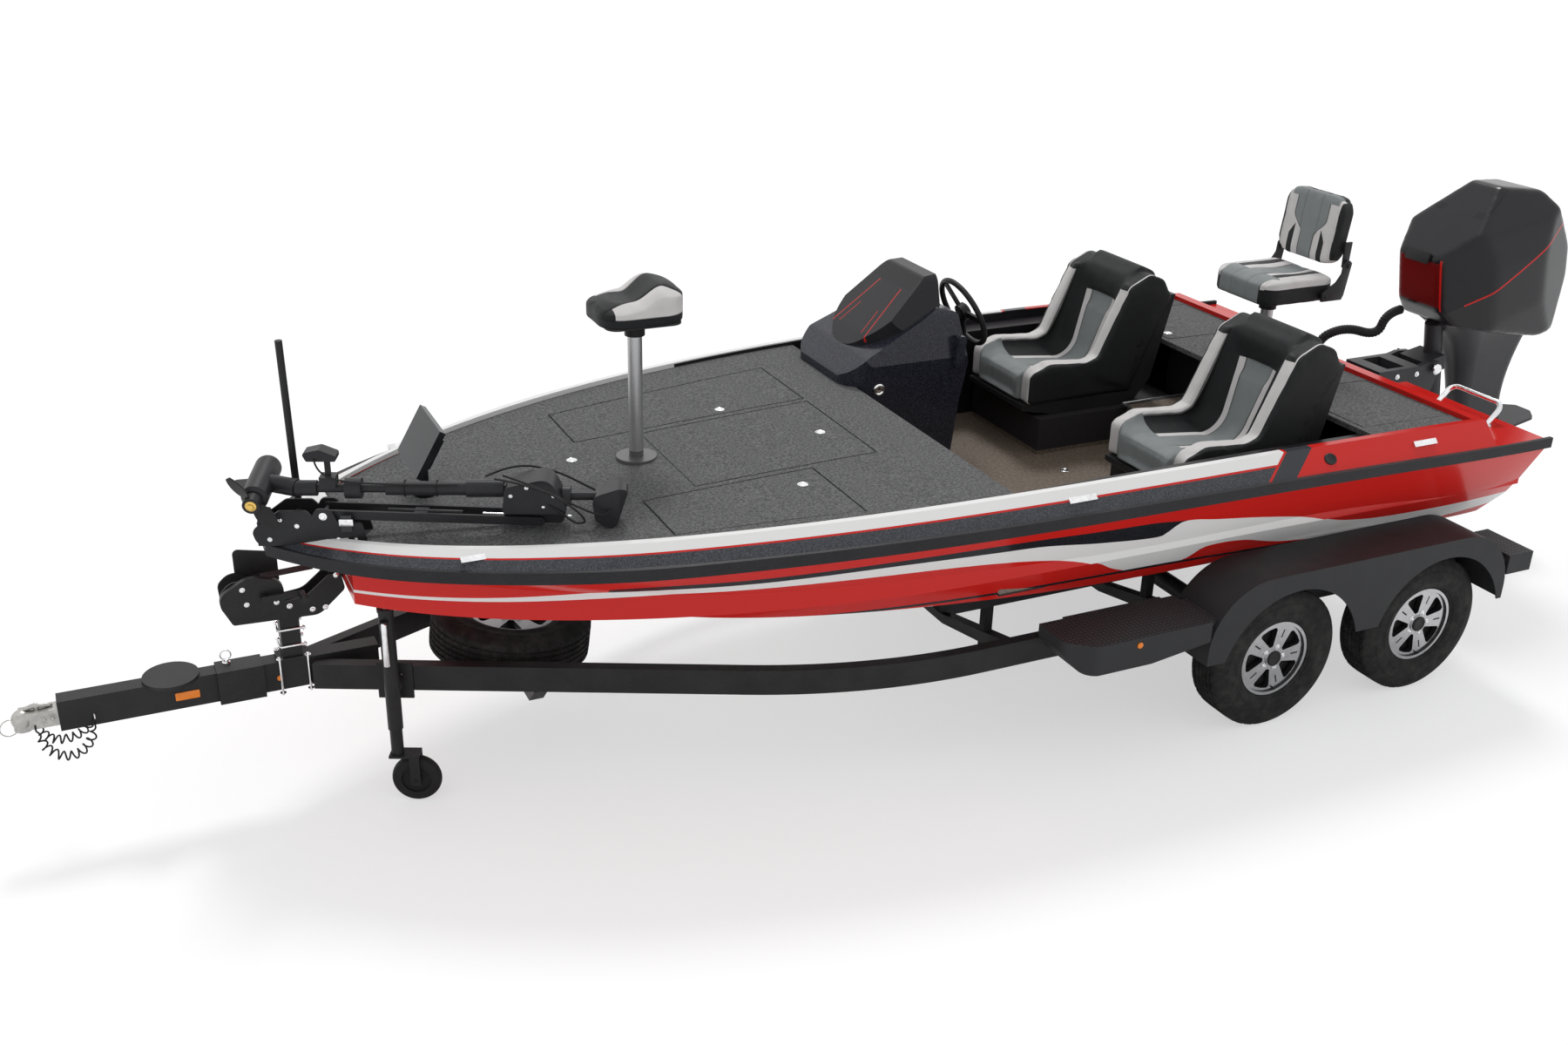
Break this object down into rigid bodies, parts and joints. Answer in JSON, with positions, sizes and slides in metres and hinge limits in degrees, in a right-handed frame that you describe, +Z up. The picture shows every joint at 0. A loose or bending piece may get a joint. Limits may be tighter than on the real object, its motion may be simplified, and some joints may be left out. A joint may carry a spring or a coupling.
{
  "type": "bass boat on a tandem-axle trailer",
  "caption": "Low fishing boat with carpeted casting decks, a side console, bucket seats, an outboard and a bow trolling motor, held on a trailer with a folding tongue and a jack.",
  "frame": {"origin": "on the ground under the middle of the whole length and width", "axes": "+X to the bow and the coupler, +Y to port, +Z up"},
  "size_m": [7.8354, 2.58, 2.11],
  "materials": {
    "hull_gelcoat": "glossy gelcoat, red over charcoal with white stripes",
    "deck_gelcoat": "glossy gelcoat, white forward and red aft",
    "rub_rail_black": "satin black vinyl",
    "carpet_grey": "short grey marine carpet",
    "liner_brown": "brown footwell mat",
    "console_black": "black metal-flake gelcoat",
    "screen_smoked": "smoked acrylic",
    "black_trim": "satin black moulding",
    "seat_vinyl": "grey, black and white vinyl",
    "post_alloy": "anodised",
    "steel_bright": "polished stainless steel",
    "outboard_black": "gloss black paint",
    "outboard_grey": "dark grey paint on cast alloy",
    "motor_black": "satin black paint on alloy",
    "trailer_black": "satin black paint on steel",
    "zinc": "yellow zinc plate",
    "rubber_black": "black rubber",
    "tyre_black": "black rubber",
    "rim_machined": "machined face with black pockets",
    "bunk_carpet": "carpeted board",
    "lamp_red": "red lens",
    "cable_black": "black sheath",
    "strap_grey": "woven webbing"
  },
  "bodies": {
    "root": {"hull": "hull_gelcoat", "deck_moulding": "deck_gelcoat", "rub_rail": "rub_rail_black", "fore_deck": "carpet_grey", "aft_deck": "carpet_grey", "cockpit_liner": "liner_brown", "console": "console_black", "windscreen": "screen_smoked", "seat_shells": "black_trim", "seat_pads": "seat_vinyl", "seat_posts": "post_alloy", "deck_fittings": "steel_bright", "bow_pole": "black_trim", "bow_display": "black_trim", "outboard_bracket": "outboard_grey", "bow_motor_base": "motor_black", "frame_rails": "trailer_black", "crossmembers": "trailer_black", "tongue": "trailer_black", "winch_post": "trailer_black", "axles": "trailer_black", "bunks": "bunk_carpet", "spare_wheel": "tyre_black", "fenders": "trailer_black", "tail_lights": "lamp_red", "winch_strap": "strap_grey", "bow_roller": "rubber_black", "rigging_hose": "rubber_black"},
    "tongue_fold": {"tongue_front": "trailer_black", "coupler": "zinc", "safety_cables": "cable_black"},
    "jack": {"jack_tube": "trailer_black"},
    "jack_inner": {"jack_leg": "trailer_black"},
    "caster": {"jack_wheel": "rubber_black"},
    "outboard_clamp": {"outboard_swivel": "outboard_grey"},
    "outboard": {"outboard_cowl": "outboard_black", "outboard_leg": "outboard_grey"},
    "propeller": {"outboard_propeller": "steel_bright"},
    "trolling_arm": {"bow_motor_arm": "motor_black"},
    "trolling_motor": {"bow_motor": "motor_black"},
    "trolling_propeller": {"bow_motor_propeller": "black_trim"},
    "fore_seat": {"bow_seat": "seat_vinyl"},
    "rear_seat": {"aft_seat": "seat_vinyl"},
    "rear_seat_back": {"aft_seat_back": "seat_vinyl"},
    "helm": {"steering_wheel": "black_trim"},
    "lid_port": {"lid_port": "carpet_grey"},
    "lid_starboard": {"lid_starboard": "carpet_grey"},
    "lid_centre": {"lid_centre": "carpet_grey"},
    "lid_aft_port": {"lid_aft_port": "carpet_grey"},
    "lid_aft_starboard": {"lid_aft_starboard": "carpet_grey"},
    "wheel_front_port": {"tyre_front_port": "tyre_black", "rim_front_port": "rim_machined"},
    "wheel_front_starboard": {"tyre_front_starboard": "tyre_black", "rim_front_starboard": "rim_machined"},
    "wheel_rear_port": {"tyre_rear_port": "tyre_black", "rim_rear_port": "rim_machined"},
    "wheel_rear_starboard": {"tyre_rear_starboard": "tyre_black", "rim_rear_starboard": "rim_machined"}
  },
  "joints": [
    {"name": "wheel_front_port_spin", "type": "hinge", "parent": "root", "child": "wheel_front_port", "pos_m": [-1.1333, 1.122, 0.335], "axis": [0, 1, 0], "continuous": true},
    {"name": "wheel_front_starboard_spin", "type": "hinge", "parent": "root", "child": "wheel_front_starboard", "pos_m": [-1.1333, -1.122, 0.335], "axis": [0, 1, 0], "continuous": true},
    {"name": "wheel_rear_port_spin", "type": "hinge", "parent": "root", "child": "wheel_rear_port", "pos_m": [-1.9933, 1.122, 0.335], "axis": [0, 1, 0], "continuous": true},
    {"name": "wheel_rear_starboard_spin", "type": "hinge", "parent": "root", "child": "wheel_rear_starboard", "pos_m": [-1.9933, -1.122, 0.335], "axis": [0, 1, 0], "continuous": true},
    {"name": "tongue_swing", "type": "hinge", "parent": "root", "child": "tongue_fold", "pos_m": [3.1327, -0.02, 0.527], "axis": [0, 0, 1], "range_deg": [-110, 0]},
    {"name": "jack_swing", "type": "hinge", "parent": "root", "child": "jack", "pos_m": [2.5527, 0.275, 0.52], "axis": [0.411, 0.9116, 0], "range_deg": [0, 90]},
    {"name": "jack_slide", "type": "slide", "parent": "jack", "child": "jack_inner", "axis": [0, 0, 1], "range_m": [-0.1, 0.1]},
    {"name": "caster_spin", "type": "hinge", "parent": "jack_inner", "child": "caster", "pos_m": [2.48889, 0.30377, 0.1], "axis": [0.411, 0.9116, 0], "continuous": true},
    {"name": "outboard_tilt", "type": "hinge", "parent": "root", "child": "outboard_clamp", "pos_m": [-2.9873, 0, 1.13], "axis": [0, 1, 0], "range_deg": [-16, 52], "deforming": ["rigging_hose"]},
    {"name": "outboard_steer", "type": "hinge", "parent": "outboard_clamp", "child": "outboard", "pos_m": [-3.09528, 0, 1.15099], "axis": [0.1908, 0, 0.9816], "range_deg": [-30, 30], "deforming": ["rigging_hose"]},
    {"name": "propeller_spin", "type": "hinge", "parent": "outboard", "child": "propeller", "pos_m": [-3.83909, 0, 0.52135], "axis": [0.9816, 0, -0.1908], "continuous": true},
    {"name": "helm_turn", "type": "hinge", "parent": "root", "child": "helm", "pos_m": [-0.5123, -0.6, 1.49], "axis": [0.9063, 0, -0.4226], "range_deg": [-540, 540]},
    {"name": "trolling_arm_lift", "type": "hinge", "parent": "root", "child": "trolling_arm", "pos_m": [2.71814, 0.16008, 1.262], "axis": [0.3746, 0.9272, 0], "range_deg": [0, 135]},
    {"name": "trolling_motor_fold", "type": "hinge", "parent": "trolling_arm", "child": "trolling_motor", "pos_m": [1.97639, 0.45976, 1.234], "axis": [0.3746, 0.9272, 0], "range_deg": [-45, 0]},
    {"name": "trolling_propeller_spin", "type": "hinge", "parent": "trolling_motor", "child": "trolling_propeller", "pos_m": [2.98147, 0.17117, 1.33669], "axis": [0.371, 0.9182, -0.1392], "continuous": true},
    {"name": "fore_seat_swivel", "type": "hinge", "parent": "root", "child": "fore_seat", "pos_m": [1.4177, 0, 1.8], "axis": [0, 0, 1], "continuous": true},
    {"name": "rear_seat_swivel", "type": "hinge", "parent": "root", "child": "rear_seat", "pos_m": [-1.8973, 0, 1.54], "axis": [0, 0, 1], "continuous": true},
    {"name": "rear_seat_fold", "type": "hinge", "parent": "rear_seat", "child": "rear_seat_back", "pos_m": [-2.1423, 0, 1.785], "axis": [0, 1, 0], "range_deg": [0, 75]},
    {"name": "lid_port_hinge", "type": "hinge", "parent": "root", "child": "lid_port", "pos_m": [1.1777, 0.832, 1.22999], "axis": [0.9839, -0.1743, -0.0407], "range_deg": [-80, 0]},
    {"name": "lid_starboard_hinge", "type": "hinge", "parent": "root", "child": "lid_starboard", "pos_m": [1.0427, -0.717, 1.23368], "axis": [0.9902, 0.1345, -0.0383], "range_deg": [0, 80]},
    {"name": "lid_centre_hinge", "type": "hinge", "parent": "root", "child": "lid_centre", "pos_m": [1.3047, 0.052, 1.22593], "axis": [0, 1, 0], "range_deg": [0, 65]},
    {"name": "lid_aft_port_hinge", "type": "hinge", "parent": "root", "child": "lid_aft_port", "pos_m": [-1.9273, 0.952, 1.26255], "axis": [0.9998, 0, 0.0208], "range_deg": [-80, 0]},
    {"name": "lid_aft_starboard_hinge", "type": "hinge", "parent": "root", "child": "lid_aft_starboard", "pos_m": [-1.9273, -0.952, 1.26255], "axis": [0.9998, 0, 0.0208], "range_deg": [0, 80]}
  ],
  "couplings": [
    {"joint": "trolling_motor_fold", "follows": "trolling_arm_lift", "ratio": -0.3333},
    {"joint": "helm_turn", "follows": "outboard_steer", "ratio": 18}
  ]
}
